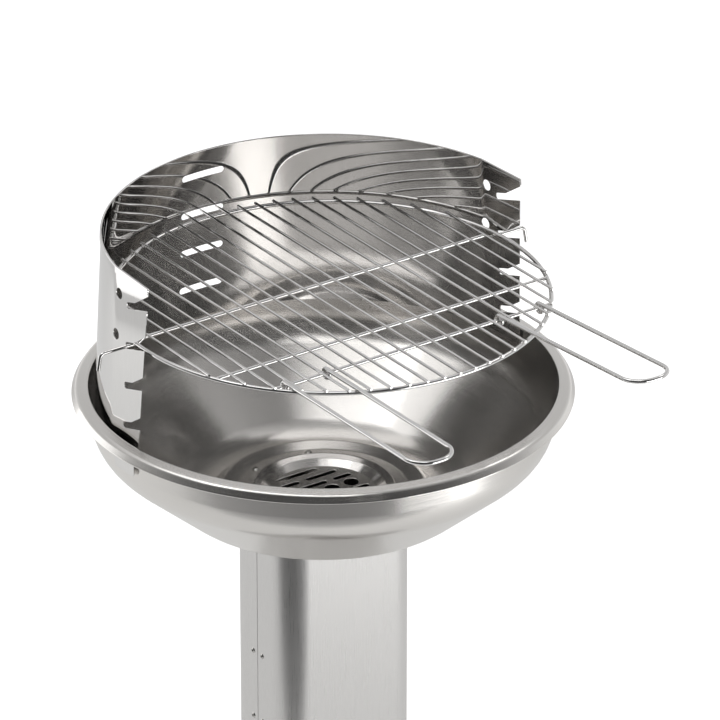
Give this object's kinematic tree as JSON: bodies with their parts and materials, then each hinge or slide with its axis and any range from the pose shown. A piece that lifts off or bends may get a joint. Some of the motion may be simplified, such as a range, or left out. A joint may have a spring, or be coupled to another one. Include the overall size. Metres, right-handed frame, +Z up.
{
  "type": "pedestal charcoal grill",
  "caption": "Pedestal charcoal grill: pressed steel bowl with windshield and height-adjustable wire grate on an anchored column with an ash drawer.",
  "frame": {"origin": "centre of the base plate's underside, on the column's axis, at floor level", "axes": "+Z up; +Y towards the windshield's back; the cook stands at -Y, where the grate handles and the ash drawer face; +X is the right hand of the cook"},
  "size_m": [0.5884, 0.7153, 0.9495],
  "materials": {
    "polished_steel": "polished stainless",
    "mirror_steel": "mirror polished stainless sheet",
    "satin_steel": "satin stainless, vertical grain",
    "chromed_wire": "bright chromed wire",
    "galvanised_steel": "zinc plated sheet",
    "fasteners": "stainless fasteners",
    "base_steel": "brushed stainless plate"
  },
  "bodies": {
    "stand": {"base_plate": "base_steel", "foot_socket": "galvanised_steel", "column_front_shell": "satin_steel", "column_rear_shell": "satin_steel", "column_seam_strips": "galvanised_steel", "column_seam_rivets": "fasteners", "column_head_plate": "galvanised_steel", "column_screws": "fasteners", "ash_hopper": "galvanised_steel", "drawer_runners": "galvanised_steel", "bowl": "polished_steel", "bowl_screws": "fasteners", "bowl_washers": "fasteners", "bowl_nuts": "fasteners", "vent_collar": "polished_steel", "windshield_back": "mirror_steel", "windshield_side_left": "mirror_steel", "windshield_side_right": "mirror_steel"},
    "cooking_grate": {"grate_ring": "chromed_wire", "grate_bars": "chromed_wire", "grate_cross_wires": "chromed_wire", "grate_hanger_rod": "chromed_wire"},
    "left_handle": {"handle_left": "chromed_wire"},
    "right_handle": {"handle_right": "chromed_wire"},
    "charcoal_disc": {"charcoal_grate": "polished_steel"},
    "ash_drawer": {"ash_drawer_tray": "galvanised_steel", "ash_drawer_front": "satin_steel", "ash_drawer_handle": "chromed_wire", "ash_drawer_screws": "fasteners"}
  },
  "joints": [
    {"name": "grate_unhook", "type": "slide", "parent": "stand", "child": "cooking_grate", "axis": [0, -0.9511, 0.309], "range_m": [0, 0.3]},
    {"name": "left_handle_hinge", "type": "hinge", "parent": "cooking_grate", "child": "left_handle", "pos_m": [-0.1443, -0.1763, 0.86795], "axis": [-1, 0, 0], "range_deg": [0, 165]},
    {"name": "right_handle_hinge", "type": "hinge", "parent": "cooking_grate", "child": "right_handle", "pos_m": [0.1443, -0.1763, 0.86795], "axis": [-1, 0, 0], "range_deg": [-3, 161]},
    {"name": "charcoal_grate_lift", "type": "slide", "parent": "stand", "child": "charcoal_disc", "axis": [0, 0, 1], "range_m": [0, 0.12]},
    {"name": "ash_drawer_slide", "type": "slide", "parent": "stand", "child": "ash_drawer", "axis": [0, -1, 0], "range_m": [0, 0.1]}
  ]
}
